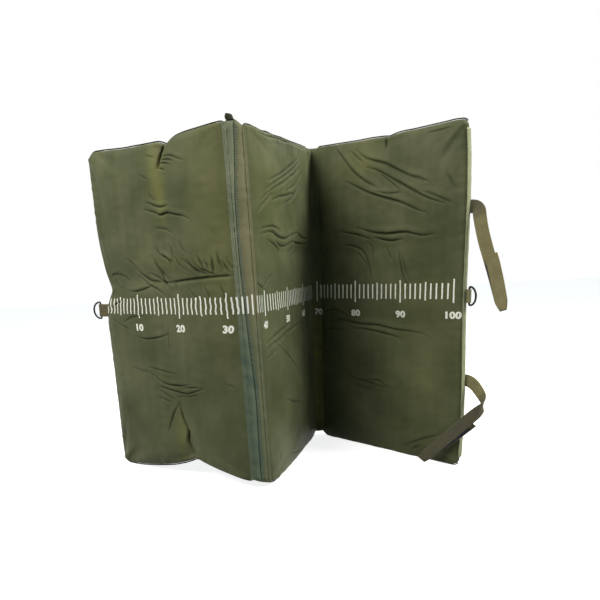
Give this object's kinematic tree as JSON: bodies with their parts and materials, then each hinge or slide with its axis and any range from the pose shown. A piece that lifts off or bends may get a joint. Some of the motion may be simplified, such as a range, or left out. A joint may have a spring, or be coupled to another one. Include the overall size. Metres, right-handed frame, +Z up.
{
  "type": "unhooking mat",
  "caption": "Padded folding fishing mat with a printed ruler, standing on its long edge in a zigzag, with sewn fold strips, swinging D-rings and closing straps.",
  "frame": {"origin": "middle of the middle panel's foot, on the ground, in the panel's mid-plane", "axes": "+Z up along the fold lines, +X from the left end of the mat to the right end as seen from the printed side, +Y away from the viewer; the middle panel's printed face looks towards +X and a little towards -Y"},
  "size_m": [0.7472, 0.3168, 0.5988],
  "materials": {
    "front_cloth": "olive coated nylon, faint satin",
    "back_cloth": "dark olive coated nylon",
    "strip_cloth": "grey-green coated nylon",
    "foam": "closed-cell foam",
    "loop_webbing": "woven olive webbing",
    "strap_webbing": "woven tan-olive webbing",
    "tape": "dark hook and loop tape",
    "wire": "black lacquered steel wire"
  },
  "bodies": {
    "middle_panel": {"panel_2_front_cover": "front_cloth", "panel_2_back_cover": "back_cloth", "panel_2_foam": "foam"},
    "left_panel": {"panel_1_front_cover": "front_cloth", "panel_1_back_cover": "back_cloth", "panel_1_foam": "foam", "ring_loop_left": "loop_webbing"},
    "right_panel": {"panel_3_front_cover": "front_cloth", "panel_3_back_cover": "back_cloth", "panel_3_foam": "foam", "ring_loop_right": "loop_webbing"},
    "left_strip": {"fold_strip_1_front": "strip_cloth", "fold_strip_1_back": "back_cloth"},
    "right_strip": {"fold_strip_2_front": "strip_cloth", "fold_strip_2_back": "back_cloth"},
    "left_ring": {"d_ring_left": "wire"},
    "right_ring": {"d_ring_right": "wire"},
    "upper_strap": {"upper_strap": "strap_webbing", "upper_strap_hook_patch": "tape", "upper_strap_loop_patch": "tape"},
    "lower_strap": {"lower_strap": "strap_webbing", "lower_strap_hook_patch": "tape", "lower_strap_loop_patch": "tape"}
  },
  "joints": [
    {"name": "fold_1", "type": "hinge", "parent": "middle_panel", "child": "left_strip", "pos_m": [-0.06297, -0.1498, 0.3], "axis": [0, 0, 1], "range_deg": [-37.9, 52.1]},
    {"name": "fold_1_outer", "type": "hinge", "parent": "left_strip", "child": "left_panel", "pos_m": [-0.09001, -0.1571, 0.3], "axis": [0, 0, 1], "range_deg": [-37.9, 52.1]},
    {"name": "fold_2", "type": "hinge", "parent": "middle_panel", "child": "right_strip", "pos_m": [0.06297, 0.1498, 0.3], "axis": [0, 0, 1], "range_deg": [-27.5, 57.8]},
    {"name": "fold_2_outer", "type": "hinge", "parent": "right_strip", "child": "right_panel", "pos_m": [0.09059, 0.15438, 0.3], "axis": [0, 0, 1], "range_deg": [-27.5, 57.8]},
    {"name": "ring_swing_left", "type": "hinge", "parent": "left_panel", "child": "left_ring", "pos_m": [-0.36373, 0.05293, 0.31], "axis": [0, 0, 1], "range_deg": [-90, 88]},
    {"name": "ring_swing_right", "type": "hinge", "parent": "right_panel", "child": "right_ring", "pos_m": [0.31034, -0.08861, 0.31], "axis": [0, 0, 1], "range_deg": [-55, 118]},
    {"name": "upper_strap_swing", "type": "hinge", "parent": "right_panel", "child": "upper_strap", "pos_m": [0.30808, -0.08606, 0.46], "axis": [0, 0, -1], "range_deg": [-75, 90]},
    {"name": "lower_strap_swing", "type": "hinge", "parent": "right_panel", "child": "lower_strap", "pos_m": [0.30794, -0.0859, 0.16], "axis": [0, 0, 1], "range_deg": [-15, 60]}
  ],
  "couplings": [
    {"joint": "fold_1_outer", "follows": "fold_1", "ratio": 1},
    {"joint": "fold_2_outer", "follows": "fold_2", "ratio": 1}
  ]
}
